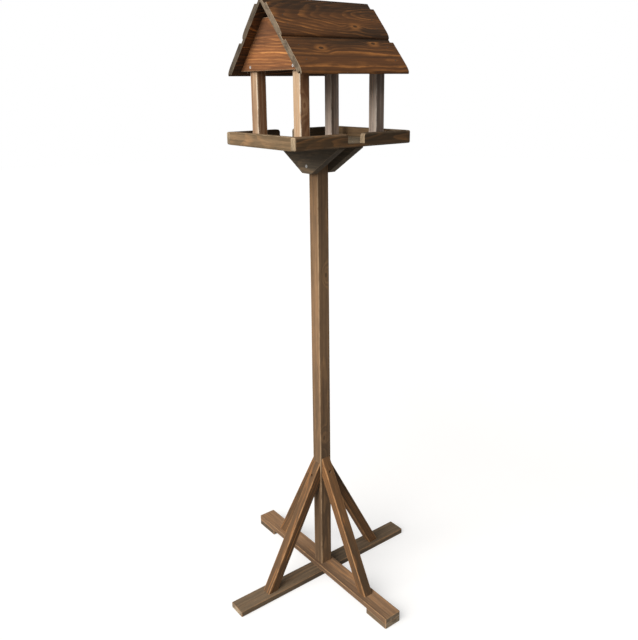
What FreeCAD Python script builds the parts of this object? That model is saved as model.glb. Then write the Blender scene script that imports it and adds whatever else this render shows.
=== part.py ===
import FreeCAD, Part
import math
import os

# Bird feeder on a pole: an open tray under a gable roof, on a square post with a braced cross foot.
# Millimetres, +Z up. X runs along the ridge, Y across it, and the origin is on the ground under the post.
# Every piece of timber is a solid of its own, and so is every screw, nail, bolt, washer and nut.

V = FreeCAD.Vector
X, Y, Z = V(1, 0, 0), V(0, 1, 0), V(0, 0, 1)
SIDES = (-1, 1)

# --- driving sizes: timber ---------------------------------------------------------------------------
board_t = 18.0            # planed board, used for the planks, rails and roof
post_w = 41.0             # square post
batten_w = 32.0           # square batten, used for the braces and uprights
gusset_t = 24.0           # thicker board, used for the gussets under the tray
arris = 3.0               # eased arris along the post and the battens
board_arris = 1.2         # eased arris along the boards

# --- driving sizes: foot -----------------------------------------------------------------------------
plank_w = 60.0
lower_plank_length = 692.0
upper_plank_length = 692.0
foot_block_length = 90.0
brace_rise = 396.0        # from the plank to the brace's tip on the post
brace_reach = 235.0       # from the post's axis to the brace's outer foot edge

# --- driving sizes: tray -----------------------------------------------------------------------------
tray_length = 408.0       # outside the rails, along X
tray_width = 336.0        # outside the rails, along Y
tray_underside = 1432.0   # height of the tray above the ground
rail_h = 36.0
floor_t = 9.0
notch_w = 58.0            # sweeping-out notch in each long rail
notch_r = 9.0             # rounded top corners of the notch
rail_corner_r = 5.0       # rounded ends and outer edges of the long rails

# --- driving sizes: gussets --------------------------------------------------------------------------
gusset_h = 82.0
gusset_inset = 5.0        # from the rails' inside faces to the gusset's ends
gusset_end_h = 5.0        # upright end left above the slanted edge

# --- driving sizes: house ----------------------------------------------------------------------------
upright_inset_x = 38.0    # from the short rails' inside faces to the uprights
upright_inset_y = 33.0    # from the long rails' inside faces to the uprights
roof_pitch = math.radians(48.5)
roof_overhang = 28.0      # past the gables
roof_rise = 370.4         # from the tray's underside to the inner ridge line
gable_t = 9.0
gable_drop = 170.4        # from the inner ridge line down to the gable's lower edge
gable_vent = 35.4         # from the inner ridge line down to the gable's flat top
gable_arris = 2.0

# --- driving sizes: roof boards, measured down the slope ----------------------------------------------
tongue_t = 9.0            # thickness left at the board's upper edge
tongue_show = 19.0        # tongue that shows between two boards
face_w = 106.0            # full-thickness face, nose included
lap = 11.0                # how far a board covers the tongue below it
lap_gap = 0.3             # slack of that lap
nose_length = 28.0        # rounded lower stretch of the face
ridge_show = 20.0         # from the inner ridge line to the first full thickness

# --- driving sizes: fasteners ------------------------------------------------------------------------
screw_d = 4.0
screw_head_d = 8.0
nail_d = 2.0
nail_head_d = 4.0
pin_d = 1.8
pin_head_d = 2.6
bolt_d = 6.0
bolt_head_d = 10.0
bolt_head_h = 2.4
washer_d = 12.0
washer_t = 1.4
nut_af = 10.0             # across the flats
nut_h = 5.0
bolt_end = 3.0            # bolt left past its nut
sink = 1.0                # screw heads under the planks sit this deep
plug_d = 9.0              # counterbore at the top of each brace
plug_depth = 6.0
gable_screw_length = 32.0
gable_screw_rise = 11.0   # gable screws above the gable's lower edge
roof_nail_length = 45.0
roof_nail_steps = (42.0, 74.0)        # upper board, from its first full thickness
lower_roof_nail_steps = (18.0, 66.0)  # lower board, from its first full thickness
bolt_rise = 21.0          # bolt above the gusset's lower edge
tray_screw_length = 26.0
tray_screw_off = 30.0     # tray screws, from the post's face and from the gusset's end
upright_screw_length = 44.0
pin_length = 40.0
floor_pin_x = 110.0       # floor pins in the long rails, from the middle
floor_pin_y = 80.0        # floor pins in the short rails, from the middle
post_screw_length = 90.0
crossing_screw_length = 30.0
crossing_screw_in = 7.0   # crossing screws, from the planks' edges
block_nail_length = 32.0
brace_screw_length = 30.0
brace_foot_screw_bite = 28.0  # brace foot screws, past the plank
brace_screw_drop = 42.0   # brace screws, below the brace's tip
brace_screw_in = 7.0      # foot screws, from the brace's inner foot edge

# --- sizes that follow -------------------------------------------------------------------------------
post_half = post_w / 2
batten_half = batten_w / 2
lower_top = board_t
upper_top = 2 * board_t
tray_floor_top = tray_underside + floor_t
rail_top = tray_underside + rail_h
inner_half_x = tray_length / 2 - board_t
inner_half_y = tray_width / 2 - board_t
gusset_bottom = tray_underside - gusset_h
gusset_half = inner_half_y - gusset_inset
upright_x = inner_half_x - upright_inset_x - batten_half
upright_y = inner_half_y - upright_inset_y - batten_half
gable_inner_x = upright_x + batten_half
gable_outer_x = gable_inner_x + gable_t
roof_length = 2 * (gable_outer_x + roof_overhang)
ridge_inner = tray_underside + roof_rise
gable_bottom = ridge_inner - gable_drop
gable_top = ridge_inner - gable_vent
board_cover = face_w + tongue_show


# --- shapes ------------------------------------------------------------------------------------------
def block(x0, x1, y0, y1, z0, z1):
    return Part.makeBox(x1 - x0, y1 - y0, z1 - z0, V(x0, y0, z0))


def long_edges(shape, axis):
    """The straight edges of a bar that run all the way along the axis."""
    def run(edge):
        return abs((edge.Vertexes[-1].Point - edge.Vertexes[0].Point).dot(axis))

    found = [e for e in shape.Edges if len(e.Vertexes) == 2 and run(e) > 0.99 * e.Length]
    longest = max(run(e) for e in found)
    return [e for e in found if run(e) > 0.8 * longest]


def eased(shape, axis, size):
    return shape.makeChamfer(size, long_edges(shape, axis))


def outline(points, extrusion):
    wire = Part.makePolygon(points + [points[0]])
    return Part.Face(wire).extrude(extrusion)


def turning(profile, at, axis):
    """A turned solid: profile holds (radius, distance along the axis) points, both ends on the axis."""
    across = axis.cross(Z if abs(axis.z) < 0.5 else X)
    across.normalize()
    points = [at + across * r + axis * t for r, t in profile]
    return Part.Face(Part.makePolygon(points + [points[0]])).revolve(at, axis, 360)


def countersunk(tip_side, length, shank_d=screw_d, head_d=screw_head_d, at=V(0, 0, 0)):
    """A countersunk screw or nail whose flat head is centred on `at`, driven along tip_side."""
    head_h = (head_d - shank_d) / 2
    shank_r = shank_d / 2
    return turning([(0, 0), (head_d / 2, 0), (shank_r, head_h), (shank_r, length - shank_d),
                    (shank_r / 4, length), (0, length)], at, tip_side)


def bored(shape, tools):
    """The piece with a hole for each fastener or recess that meets it."""
    for tool in tools:
        if tool.BoundBox.intersect(shape.BoundBox):
            shape = shape.cut(tool)
    return shape


recesses = []             # holes that let a screw's head sit below the timber's face


def sunk_screw(x, y, underside, length, shank_d=screw_d, head_d=screw_head_d):
    """A screw driven up from below, its head a little above the timber's underside."""
    recesses.append(Part.makeCylinder(head_d / 2, sink, V(x, y, underside)))
    return countersunk(Z, length, shank_d, head_d, V(x, y, underside + sink))


# --- foot --------------------------------------------------------------------------------------------
def planks():
    half_w = plank_w / 2
    lower = block(-lower_plank_length / 2, lower_plank_length / 2, -half_w, half_w, 0, lower_top)
    upper = block(-half_w, half_w, -upper_plank_length / 2, upper_plank_length / 2, lower_top, upper_top)
    return eased(lower, X, board_arris), eased(upper, Y, board_arris)


def foot_block(side):
    outer = side * upper_plank_length / 2
    inner = outer - side * foot_block_length
    return eased(block(-plank_w / 2, plank_w / 2, min(outer, inner), max(outer, inner), 0, lower_top),
                 Y, board_arris)


brace_slope = brace_rise / (brace_reach - post_half)
brace_length = math.hypot(brace_rise, brace_reach - post_half)
brace_foot_w = batten_w * brace_length / brace_rise


def brace(turn, seat):
    """A raking batten, cut level on the plank and plumb against the post. Made along +X, then turned."""
    lean = V(post_half - brace_reach, 0, brace_rise) / brace_length
    inward = V(-lean.z, 0, lean.x)
    start = V(brace_reach, 0, seat) - lean * batten_w * 3
    corners = [start + Y * batten_half, start - Y * batten_half,
               start - Y * batten_half + inward * batten_w, start + Y * batten_half + inward * batten_w]
    bar = outline(corners, lean * (brace_length + batten_w * 6))
    bar = eased(bar, lean, arris)
    room = block(post_half, brace_reach * 2, -batten_w, batten_w, seat, seat + brace_rise * 2)
    raked = bar.common(room)
    raked.rotate(V(0, 0, 0), Z, turn)
    return raked


def turned(shape, turn):
    shape.rotate(V(0, 0, 0), Z, turn)
    return shape


brace_turns = {"right": (0, lower_top), "rear": (90, upper_top),
               "left": (180, lower_top), "front": (270, upper_top)}


def brace_top_screw(turn, seat):
    """A level screw into the post, its head at the bottom of a counterbore in the sloping face."""
    height = seat + brace_rise - brace_screw_drop
    head_x = post_half + brace_screw_drop / brace_slope - plug_depth
    recesses.append(turned(Part.makeCylinder(plug_d / 2, plug_depth * 3, V(head_x, 0, height), X), turn))
    return turned(countersunk(-X, brace_screw_length, at=V(head_x, 0, height)), turn)


def brace_foot_screw(turn, seat):
    reach = brace_reach - brace_foot_w + brace_screw_in
    angle = math.radians(turn)
    return sunk_screw(reach * math.cos(angle), reach * math.sin(angle), seat - board_t,
                      board_t + brace_foot_screw_bite)


# --- tray --------------------------------------------------------------------------------------------
def notched_rail(side):
    """A long rail. Its ends and outer edges are rounded, and a notch lets the tray be swept out."""
    outer = side * tray_width / 2
    low_y = min(outer, side * inner_half_y)
    half = tray_length / 2
    bar = block(-half, half, low_y, low_y + board_t, tray_underside, rail_top)
    notch = block(-notch_w / 2, notch_w / 2, low_y - 1, low_y + board_t + 1, tray_floor_top, rail_top + 1)
    rail = bar.cut(notch)
    lips = [e for e in rail.Edges if e.BoundBox.YLength > board_t / 2 and e.BoundBox.ZMin > rail_top - 1
            and abs(abs(e.Vertexes[0].X) - notch_w / 2) < 0.1]
    around_outside = [e for e in bar.Edges if all(abs(v.Y - outer) < 0.1 for v in e.Vertexes)]
    across_ends = [e for e in bar.Edges if e.BoundBox.YLength > board_t / 2]
    rounded = bar.makeFillet(rail_corner_r, around_outside + across_ends)
    return rail.makeFillet(notch_r, lips).common(rounded)


def plain_rail(side):
    outer = side * tray_length / 2
    inner = side * inner_half_x
    rail = block(min(outer, inner), max(outer, inner), -inner_half_y, inner_half_y, tray_underside, rail_top)
    return eased(rail, Y, board_arris)


def gusset(side):
    """A board across the tray on one face of the post. It narrows to the post's width at the bottom."""
    shoulder = tray_underside - gusset_end_h
    x0 = side * (post_half + gusset_t / 2) - gusset_t / 2
    pts = [V(x0, -post_half, gusset_bottom), V(x0, post_half, gusset_bottom), V(x0, gusset_half, shoulder),
           V(x0, gusset_half, tray_underside), V(x0, -gusset_half, tray_underside),
           V(x0, -gusset_half, shoulder)]
    return outline(pts, X * gusset_t)


# --- house -------------------------------------------------------------------------------------------
def on_slope(u, v):
    """A point of the front slope's section: u runs down from the inner ridge line, v out of the roof."""
    y = u * math.cos(roof_pitch) + v * math.sin(roof_pitch)
    z = ridge_inner - u * math.sin(roof_pitch) + v * math.cos(roof_pitch)
    return V(-roof_length / 2, -y, z)


def roof_board(step_u, tongue_u):
    """A shiplap board: thin tongue, cove, full face, rounded nose and a rebate behind the nose."""
    cove = board_t - tongue_t
    nose_u = step_u + face_w
    rebate_u = nose_u - lap
    rebate_v = tongue_t + lap_gap
    line = [(rebate_u, rebate_v), (rebate_u, 0), (tongue_u, 0), (tongue_u, tongue_t), (step_u - cove, tongue_t)]
    edges = [Part.makeLine(on_slope(*a), on_slope(*b)) for a, b in zip(line, line[1:])]
    dip = cove * math.sin(math.radians(45))
    edges.append(Part.Arc(on_slope(step_u - cove, tongue_t), on_slope(step_u - cove + dip, board_t - dip),
                          on_slope(step_u, board_t)).toShape())
    edges.append(Part.makeLine(on_slope(step_u, board_t), on_slope(nose_u - nose_length, board_t)))
    nose = Part.BezierCurve()
    nose.setPoles([on_slope(nose_u - nose_length, board_t), on_slope(nose_u, board_t),
                   on_slope(nose_u, rebate_v)])
    edges.append(nose.toShape())
    edges.append(Part.makeLine(on_slope(nose_u, rebate_v), on_slope(rebate_u, rebate_v)))
    return Part.Face(Part.Wire(edges)).extrude(X * roof_length)


def upper_roof_board():
    """The top board's tongue runs up to the ridge, where both slopes meet in a plumb mitre."""
    past_ridge = -board_t * 2
    board = roof_board(ridge_show, past_ridge)
    front_half = block(-roof_length, roof_length, -tray_width, 0, tray_underside, ridge_inner + tray_width)
    return board.common(front_half)


def lower_roof_board():
    tongue_u = ridge_show + face_w - lap + lap_gap
    return roof_board(ridge_show + board_cover, tongue_u)


def rear(shape):
    return shape.mirror(V(0, 0, 0), Y)


def slope_half_width(height):
    """Half the width between the two slopes' undersides at a height."""
    return (ridge_inner - height) / math.tan(roof_pitch)


def gable(side):
    """The end panel, screwed to the outside of two uprights. The roof boards rest on its edges."""
    inner_x = side * gable_inner_x
    low, high = slope_half_width(gable_bottom), slope_half_width(gable_top)
    pts = [V(inner_x, -low, gable_bottom), V(inner_x, low, gable_bottom),
           V(inner_x, high, gable_top), V(inner_x, -high, gable_top)]
    panel = outline(pts, X * gable_t * side)
    level = [e for e in panel.Edges if abs(e.BoundBox.XMin - side * gable_outer_x) < 0.1 and e.BoundBox.ZLength < 0.1
             and e.BoundBox.YLength > 1]
    return panel.makeChamfer(gable_arris, level)


def upright(side_x, side_y):
    """A corner upright from the tray floor up to the roof, its top cut to the slope."""
    x, y = side_x * upright_x, side_y * upright_y
    bar = eased(block(x - batten_half, x + batten_half, y - batten_half, y + batten_half,
                      tray_floor_top, ridge_inner), Z, arris)
    low, high = slope_half_width(tray_floor_top), 0
    under_roof = outline([V(-roof_length, -low, tray_floor_top), V(-roof_length, low, tray_floor_top),
                          V(-roof_length, high, ridge_inner)], X * 2 * roof_length)
    return bar.common(under_roof)


# --- fasteners ---------------------------------------------------------------------------------------
def gable_screws():
    height = gable_bottom + gable_screw_rise
    return [countersunk(X * -sx, gable_screw_length, at=V(sx * gable_outer_x, sy * upright_y, height))
            for sx in SIDES for sy in SIDES]


def roof_nails():
    """Lost-head nails through the roof boards into the gables' sloping edges."""
    out = on_slope(0, 1) - on_slope(0, 0)
    spots = [ridge_show + step for step in roof_nail_steps]
    spots += [ridge_show + board_cover + step for step in lower_roof_nail_steps]
    gable_middle = (gable_inner_x + gable_outer_x) / 2
    front = []
    for side in SIDES:
        for u in spots:
            at = on_slope(u, board_t) + X * (roof_length / 2 + side * gable_middle)
            front.append(countersunk(out * -1, roof_nail_length, nail_d, nail_head_d, at))
    return front + [rear(n) for n in front]


def domed_bolt(seat, length):
    """A bolt along X whose domed head rests on the seat, turned in one piece with its shank."""
    dome_r = (bolt_head_d ** 2 / 4 + bolt_head_h ** 2) / (2 * bolt_head_h)
    half_angle = math.asin(bolt_head_d / 2 / dome_r) / 2
    tip, end = seat - X * bolt_head_h, seat + X * length
    halfway = tip + X * dome_r * (1 - math.cos(half_angle)) + Y * dome_r * math.sin(half_angle)
    rim, neck = seat + Y * bolt_head_d / 2, seat + Y * bolt_d / 2
    edges = [Part.Arc(tip, halfway, rim).toShape(), Part.makeLine(rim, neck),
             Part.makeLine(neck, neck + X * length), Part.makeLine(neck + X * length, end),
             Part.makeLine(end, tip)]
    return Part.Face(Part.Wire(edges)).revolve(seat, X, 360)


def bolt_set():
    """A domed bolt through both gussets and the post, with a washer and nut on the right side."""
    face = post_half + gusset_t
    height = gusset_bottom + bolt_rise
    left, right = V(-face, 0, height), V(face, 0, height)
    length = 2 * face + washer_t + nut_h + bolt_end
    bolt = domed_bolt(left, length)
    hole = Part.makeCylinder(bolt_d / 2, washer_t, right, X)
    washer = Part.makeCylinder(washer_d / 2, washer_t, right, X).cut(hole)
    corner = nut_af / 2 / math.cos(math.radians(30))
    start = right + X * washer_t
    hexagon = [start + V(0, corner * math.cos(math.radians(60 * k)), corner * math.sin(math.radians(60 * k)))
               for k in range(6)]
    nut_hole = Part.makeCylinder(bolt_d / 2, nut_h, start, X)
    nut = outline(hexagon, X * nut_h).cut(nut_hole)
    return {"gusset_bolt": [bolt], "gusset_washer": [washer], "gusset_nut": [nut]}


def tray_screws():
    """Countersunk screws down through the floor into the gussets."""
    x = post_half + gusset_t / 2
    rows = (post_half + tray_screw_off, gusset_half - tray_screw_off)
    return [countersunk(-Z, tray_screw_length, at=V(sx * x, sy * y, tray_floor_top))
            for sx in SIDES for sy in SIDES for y in rows]


def upright_screws():
    return [countersunk(Z, upright_screw_length, at=V(sx * upright_x, sy * upright_y, tray_underside))
            for sx in SIDES for sy in SIDES]


def rim_nails():
    """Pins through the long rails into the short rails' ends."""
    x = tray_length / 2 - board_t / 2
    heights = (tray_underside + rail_h / 4, tray_underside + rail_h * 3 / 4)
    return [countersunk(Y * -sy, pin_length, pin_d, pin_head_d, V(sx * x, sy * tray_width / 2, z))
            for sx in SIDES for sy in SIDES for z in heights]


def floor_pins():
    """Pins through the rails into the floor's edges."""
    z = tray_underside + floor_t / 2
    long_ways = [countersunk(Y * -sy, pin_length, pin_d, pin_head_d, V(x, sy * tray_width / 2, z))
                 for sy in SIDES for x in (-floor_pin_x, floor_pin_x)]
    short_ways = [countersunk(X * -sx, pin_length, pin_d, pin_head_d, V(sx * tray_length / 2, y, z))
                  for sx in SIDES for y in (-floor_pin_y, floor_pin_y)]
    return long_ways + short_ways


def post_foot_screws():
    """Long screws up through both planks into the post's end."""
    return [sunk_screw(0, sy * post_w / 4, 0, post_screw_length, bolt_d, 2 * bolt_d) for sy in SIDES]


def crossing_screws():
    """Short screws up through the lower plank into the upper one, outside the post."""
    off = plank_w / 2 - crossing_screw_in
    return [sunk_screw(s * off, -s * off, 0, crossing_screw_length) for s in SIDES]


def foot_block_nails():
    inner = upper_plank_length / 2 - foot_block_length
    spots = (inner + foot_block_length / 4, inner + foot_block_length * 3 / 4)
    return [sunk_screw(0, sy * y, 0, block_nail_length, nail_d, nail_head_d) for sy in SIDES for y in spots]


# --- assembly ----------------------------------------------------------------------------------------
groups = {
    "gable_screws": gable_screws(),
    "roof_nails": roof_nails(),
    "tray_screws": tray_screws(),
    "upright_screws": upright_screws(),
    "rim_nails": rim_nails(),
    "floor_pins": floor_pins(),
    "post_foot_screws": post_foot_screws(),
    "crossing_screws": crossing_screws(),
    "foot_block_nails": foot_block_nails(),
    "brace_top_screws": [brace_top_screw(*b) for b in brace_turns.values()],
    "brace_foot_screws": [brace_foot_screw(*b) for b in brace_turns.values()],
}
groups.update(bolt_set())

timber = {"base_plank_lower": planks()[0], "base_plank_upper": planks()[1],
          "foot_block_front": foot_block(-1), "foot_block_rear": foot_block(1)}
for name, (turn, seat) in brace_turns.items():
    timber["brace_" + name] = brace(turn, seat)
timber["post"] = eased(block(-post_half, post_half, -post_half, post_half, upper_top, tray_underside), Z, arris)
timber["tray_floor"] = block(-inner_half_x, inner_half_x, -inner_half_y, inner_half_y,
                             tray_underside, tray_floor_top)
for name, side in (("left", -1), ("right", 1)):
    timber["gusset_" + name] = gusset(side)
    timber["rim_" + name] = plain_rail(side)
    timber["gable_" + name] = gable(side)
for name, side in (("front", -1), ("rear", 1)):
    timber["rim_" + name] = notched_rail(side)
    for end, side_x in (("left", -1), ("right", 1)):
        timber["upright_" + name + "_" + end] = upright(side_x, side)
timber["roof_front_upper"] = upper_roof_board()
timber["roof_front_lower"] = lower_roof_board()
timber["roof_rear_upper"] = rear(upper_roof_board())
timber["roof_rear_lower"] = rear(lower_roof_board())

holes = recesses + [fastener for group in groups.values() for fastener in group]
os.makedirs("parts", exist_ok=True)
for name, shape in timber.items():
    bored(shape, holes).exportStep("parts/" + name + ".step")
for name, solids in groups.items():
    Part.makeCompound(solids).exportStep("parts/" + name + ".step")
print(len(timber) + len(groups), "nodes")
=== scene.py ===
# %% [markdown]
# # A bird feeder on a pole
#
# The feeder is a small open house of stained pine boards on a tray, carried by a square post on a
# crossed foot with four raking braces. The measured model comes first: it is the fixed frame that
# gives the place and size of every piece, and each piece here is built again over it with the
# roundings, recesses and timber figure that a joiner's work shows.

import math

import bmesh
import bpy
from mathutils import Matrix, Vector


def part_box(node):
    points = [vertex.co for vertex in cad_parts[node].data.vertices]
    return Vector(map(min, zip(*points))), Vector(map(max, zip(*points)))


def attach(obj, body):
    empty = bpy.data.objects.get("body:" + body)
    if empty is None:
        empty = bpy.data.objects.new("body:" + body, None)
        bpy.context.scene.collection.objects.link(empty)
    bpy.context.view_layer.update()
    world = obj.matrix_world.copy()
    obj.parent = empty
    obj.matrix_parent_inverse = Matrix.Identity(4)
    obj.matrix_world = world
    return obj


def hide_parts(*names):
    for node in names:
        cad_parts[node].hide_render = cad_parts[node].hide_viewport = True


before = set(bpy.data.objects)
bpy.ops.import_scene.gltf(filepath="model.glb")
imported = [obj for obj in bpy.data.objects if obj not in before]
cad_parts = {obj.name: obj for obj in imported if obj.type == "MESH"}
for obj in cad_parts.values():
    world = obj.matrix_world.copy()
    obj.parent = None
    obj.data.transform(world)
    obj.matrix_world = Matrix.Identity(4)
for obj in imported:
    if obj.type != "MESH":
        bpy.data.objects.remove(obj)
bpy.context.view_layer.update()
scene = bpy.context.scene

X = Vector((1, 0, 0))
Y = Vector((0, 1, 0))
Z = Vector((0, 0, 1))
MM = 0.001
TINY = 1e-6  # metres; two places this near are one
NEAR = 1e-5  # metres; the same where one of them was measured


# %% [markdown]
# ## Camera, floor and light
#
# The camera stands at a grown person's eye height, a little over a metre and a half from the post,
# and looks down at the front left corner. It could be aimed with a Track To constraint, but a plain
# rotation built from the direction, with the very small roll of a hand-held view, is easier to read.
#
# One soft sun from the left is the key light, as from a large studio window, and a weak even world
# light fills the shadows. The floor is pale and doesn't throw light back up, so that the underside of
# the roof and the tray stay as dark as in a real room with a dark floor around the stand.

# %% Camera
camera_place = Vector((-1.259, -1.631, 1.594))
heading = math.radians(37.58)
dip = math.radians(16.23)
roll = math.radians(-0.69)

forward = Vector((math.sin(heading) * math.cos(dip), math.cos(heading) * math.cos(dip), -math.sin(dip)))
level_right = forward.cross(Z).normalized()
level_up = level_right.cross(forward)
right = level_right * math.cos(roll) + level_up * math.sin(roll)
up = level_up * math.cos(roll) - level_right * math.sin(roll)

camera_data = bpy.data.cameras.new("eye_height_camera")
camera_data.lens = 39.59
camera_data.sensor_width = 36.0
camera_data.shift_y = -0.047
camera_data.clip_end = 60.0
camera = bpy.data.objects.new("eye_height_camera", camera_data)
scene.collection.objects.link(camera)
camera.matrix_world = Matrix.Translation(camera_place) @ Matrix((right, up, -forward)).transposed().to_4x4()
scene.camera = camera
print("camera at", [round(c, 3) for c in camera_place], "lens", camera_data.lens)

# %% Small tools for node trees
def add_node(tree, kind, inputs=None, **settings):
    """Adds a shader node, sets its options, and links or sets its inputs, given by name or number."""
    made = tree.nodes.new("ShaderNode" + kind)
    for option, value in settings.items():
        setattr(made, option, value)
    for socket, value in (inputs or {}).items():
        if isinstance(value, bpy.types.NodeSocket):
            tree.links.new(value, made.inputs[socket])
        else:
            made.inputs[socket].default_value = value
    return made


def maths(tree, operation, first, second=0.0, clamp=False):
    inputs = {0: first, 1: second}
    return add_node(tree, "Math", inputs, operation=operation, use_clamp=clamp).outputs[0]


def ramp(tree, value, low, high, to_low=0.0, to_high=1.0):
    """A smooth ramp: to_low below low, to_high above high."""
    inputs = {"Value": value, "From Min": low, "From Max": high, "To Min": to_low, "To Max": to_high}
    return add_node(tree, "MapRange", inputs, interpolation_type="SMOOTHSTEP").outputs["Result"]


def plus(tree, first, second):
    return maths(tree, "ADD", first, second)


def times(tree, first, second, clamp=False):
    return maths(tree, "MULTIPLY", first, second, clamp)


def vector_maths(tree, operation, first, second):
    """The same for vectors. Where a vector is scaled, the second is a number."""
    other = "Scale" if operation == "SCALE" else 1
    return add_node(tree, "VectorMath", {0: first, other: second}, operation=operation).outputs[0]


def mix_colours(tree, amount, first, second):
    """Mixes two colours. Of a Mix node's many sockets these are the ones for colours."""
    inputs = {0: amount, 6: first, 7: second}
    return add_node(tree, "Mix", inputs, data_type="RGBA").outputs[2]


def noise(tree, given, stretch, detail=2.0, roughness=0.5, output="Fac"):
    """Noise over a group's stretched place, moved by its seed so that no two boards are alike."""
    spot = vector_maths(tree, "MULTIPLY", given["Place"], stretch)
    spot = vector_maths(tree, "ADD", spot, given.get("Seed", (0, 0, 0)))
    inputs = {"Vector": spot, "Scale": 1.0, "Detail": detail, "Roughness": roughness}
    return add_node(tree, "TexNoise", inputs).outputs[output]


def new_paint(name):
    """A material, its node tree and its shader."""
    paint = bpy.data.materials.new(name)
    paint.use_nodes = True
    return paint, paint.node_tree, paint.node_tree.nodes["Principled BSDF"]


# %% Floor
floor_radius = 14.0
floor_place = (0, 0, -0.4 * MM)
bpy.ops.mesh.primitive_circle_add(vertices=96, radius=floor_radius, fill_type="NGON", location=floor_place)
floor = bpy.context.object
floor.name = "studio_floor"
floor_paint, _, floor_shader = new_paint("pale_floor_paint")
floor_shader.inputs["Base Color"].default_value = (0.50, 0.50, 0.50, 1)
floor_shader.inputs["Roughness"].default_value = 0.9
floor_shader.inputs["Specular IOR Level"].default_value = 0.0
floor_shader.inputs["Emission Color"].default_value = (1, 1, 1, 1)
floor_shader.inputs["Emission Strength"].default_value = 0.55
floor.data.materials.append(floor_paint)
floor.visible_diffuse = False
floor.visible_glossy = False

# %% Window light and fill light
sun_data = bpy.data.lights.new("window_light", "SUN")
sun_data.energy = 4.4
sun_data.angle = math.radians(56)
sun_data.color = (1.0, 0.97, 0.93)
window_light = bpy.data.objects.new("window_light", sun_data)
scene.collection.objects.link(window_light)
to_window = Vector((-0.80, -0.12, 0.56)).normalized()
window_light.matrix_world = to_window.to_track_quat("Z", "Y").to_matrix().to_4x4()

world = bpy.data.worlds.new("studio_air")
scene.world = world
world.use_nodes = True
air = world.node_tree
fill = air.nodes["Background"]
fill.inputs["Color"].default_value = (1.0, 0.98, 0.95, 1)
fill.inputs["Strength"].default_value = 0.22
backdrop = add_node(air, "Background", {"Color": (1, 1, 1, 1), "Strength": 1.0})
seen = add_node(air, "LightPath").outputs["Is Camera Ray"]
both = add_node(air, "MixShader", {0: seen, 1: fill.outputs[0], 2: backdrop.outputs[0]})
air.links.new(both.outputs[0], air.nodes["World Output"].inputs["Surface"])

scene.view_settings.view_transform = "Standard"
print("light comes from", [round(c, 2) for c in to_window])


# %% [markdown]
# ## A joiner's tools
#
# Every timber piece starts as a sawn block, so a handful of tools does most of the work: a block
# between two corners, a choice of edges by their place, a plane that eases edges, a saw and a bit.
# Easing marks the new narrow faces in an attribute called `arris`, which the finish reads later, since
# rubbed edges are where a stain wears through first. A Bevel modifier would round edges too, but it
# couldn't mark them. The weighted normals at the end keep broad faces flat between soft arrises.

# %% Blocks and edges
def put_down():
    bpy.ops.object.select_all(action="DESELECT")


def take(piece):
    put_down()
    piece.select_set(True)
    bpy.context.view_layer.objects.active = piece


def named(name):
    """Names the piece that was just made, and gives its faces a mark for arrises."""
    piece = bpy.context.object
    piece.name = name
    piece.data.name = name
    piece.data.attributes.new("arris", "FLOAT", "FACE")
    return piece


def block(name, low, high):
    """A sawn block between two corners. Its object stays at the origin and its place is in its mesh."""
    put_down()
    low, high = Vector(low), Vector(high)
    bpy.ops.mesh.primitive_cube_add(size=1, location=(low + high) / 2, scale=high - low)
    bpy.ops.object.transform_apply()
    return named(name)


def open_mesh(piece, action="SELECT"):
    """Goes into edit mode, with all of the piece selected or none."""
    take(piece)
    bpy.ops.object.mode_set(mode="EDIT")
    bpy.ops.mesh.select_all(action=action)


def close_mesh():
    """Turns every face outwards and leaves edit mode."""
    bpy.ops.mesh.select_all(action="SELECT")
    bpy.ops.mesh.normals_make_consistent(inside=False)
    bpy.ops.object.mode_set(mode="OBJECT")


def select_edges(piece, wanted):
    """Goes into edit mode and selects the edges whose two ends satisfy wanted(a, b)."""
    open_mesh(piece, "DESELECT")
    bpy.ops.mesh.select_mode(type="EDGE")
    mesh = bmesh.from_edit_mesh(piece.data)
    for edge in mesh.edges:
        edge.select_set(wanted(edge.verts[0].co, edge.verts[1].co))
    bmesh.update_edit_mesh(piece.data)


def along(axis):
    """A test for edges that run along an axis."""
    straight = 0.999
    return lambda a, b: (b - a).length > TINY and abs((b - a).normalized().dot(axis)) > straight


def level(a, b):
    """A test for edges that lie level."""
    return abs((b - a).z) < TINY


def ease(piece, wanted, width, steps=3, wear=1.0):
    """Rounds the chosen edges and marks the new narrow faces as arrises."""
    narrow = 1.5  # a face is an arris up to this many widths
    select_edges(piece, wanted)
    bpy.ops.mesh.bevel(offset=width, offset_type="OFFSET", segments=steps, affect="EDGES",
                       clamp_overlap=True)
    mesh = bmesh.from_edit_mesh(piece.data)
    mark = mesh.faces.layers.float["arris"]
    for face in mesh.faces:
        longest = max(edge.calc_length() for edge in face.edges)
        if face.select and face.calc_area() < narrow * width * longest:
            face[mark] = wear
    bmesh.update_edit_mesh(piece.data)
    bpy.ops.object.mode_set(mode="OBJECT")


def saw(piece, at, off_side):
    """Saws the piece along a plane and throws away what lies on off_side."""
    open_mesh(piece)
    bpy.ops.mesh.bisect(plane_co=at, plane_no=off_side, use_fill=True, clear_outer=True, threshold=TINY)
    bpy.ops.object.mode_set(mode="OBJECT")


def cut_with(piece, tool, operation="DIFFERENCE"):
    """Takes the tool's shape out of the piece, or keeps what lies inside it, and removes the tool."""
    take(piece)
    cutter = piece.modifiers.new("cut", "BOOLEAN")
    cutter.operation = operation
    cutter.solver = "EXACT"
    cutter.object = tool
    bpy.ops.object.modifier_apply(modifier=cutter.name)
    bpy.data.objects.remove(tool)


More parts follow.
